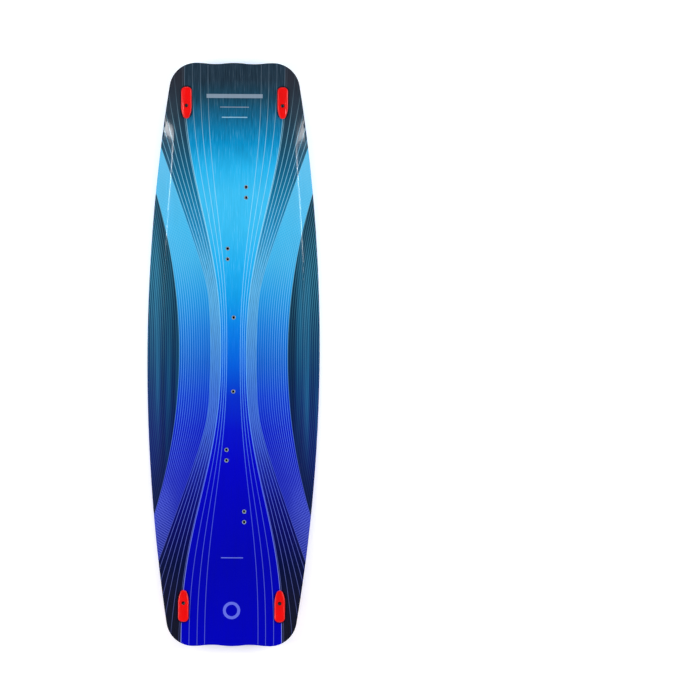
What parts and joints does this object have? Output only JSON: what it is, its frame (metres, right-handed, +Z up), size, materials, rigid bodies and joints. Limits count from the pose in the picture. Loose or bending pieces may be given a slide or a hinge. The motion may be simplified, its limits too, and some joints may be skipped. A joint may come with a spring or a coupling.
{
  "type": "kiteboard",
  "caption": "Twin-tip kiteboard with a sandwich blank, threaded pad and handle inserts, and screwed-on corner fins.",
  "frame": {"origin": "on the floor under the middle of the board, which stands deck up on its four fin tips", "axes": "+Z up out of the deck, +Y along the board to the dark nose, +X to the right across it"},
  "size_m": [0.41, 1.38, 0.0651],
  "materials": {
    "topsheet": "clear-coated printed film, blue fading to dark at the nose",
    "base_sheet": "satin-gloss printed film, cyan fading to deep blue",
    "glass_laminate": "glass cloth in clear epoxy",
    "core_wood": "planed pale hardwood",
    "rail_plastic": "satin, dark",
    "fin_box_plastic": "moulded",
    "fin_composite": "translucent orange glass composite, satin",
    "cap_plastic": "glossy moulded red",
    "gasket_rubber": "soft, matt",
    "stainless": "turned stainless",
    "brass": "turned"
  },
  "bodies": {
    "root": {"topsheet": "topsheet", "top_laminate": "glass_laminate", "wood_core": "core_wood", "left_rail": "rail_plastic", "right_rail": "rail_plastic", "nose_rail": "rail_plastic", "tail_rail": "rail_plastic", "bottom_laminate": "glass_laminate", "base_sheet": "base_sheet", "handle_inserts": "stainless", "nose_inner_pad_inserts": "stainless", "nose_outer_pad_inserts": "stainless", "tail_inner_pad_inserts": "stainless", "tail_outer_pad_inserts": "stainless", "nose_left_fin": "fin_composite", "nose_left_fin_box": "fin_box_plastic", "nose_left_fin_nut": "brass", "nose_left_fin_gasket": "gasket_rubber", "nose_left_fin_cap": "cap_plastic", "nose_left_fin_screw": "stainless", "nose_right_fin": "fin_composite", "nose_right_fin_box": "fin_box_plastic", "nose_right_fin_nut": "brass", "nose_right_fin_gasket": "gasket_rubber", "nose_right_fin_cap": "cap_plastic", "nose_right_fin_screw": "stainless", "tail_left_fin": "fin_composite", "tail_left_fin_box": "fin_box_plastic", "tail_left_fin_nut": "brass", "tail_left_fin_gasket": "gasket_rubber", "tail_left_fin_cap": "cap_plastic", "tail_left_fin_screw": "stainless", "tail_right_fin": "fin_composite", "tail_right_fin_box": "fin_box_plastic", "tail_right_fin_nut": "brass", "tail_right_fin_gasket": "gasket_rubber", "tail_right_fin_cap": "cap_plastic", "tail_right_fin_screw": "stainless"}
  },
  "joints": []
}
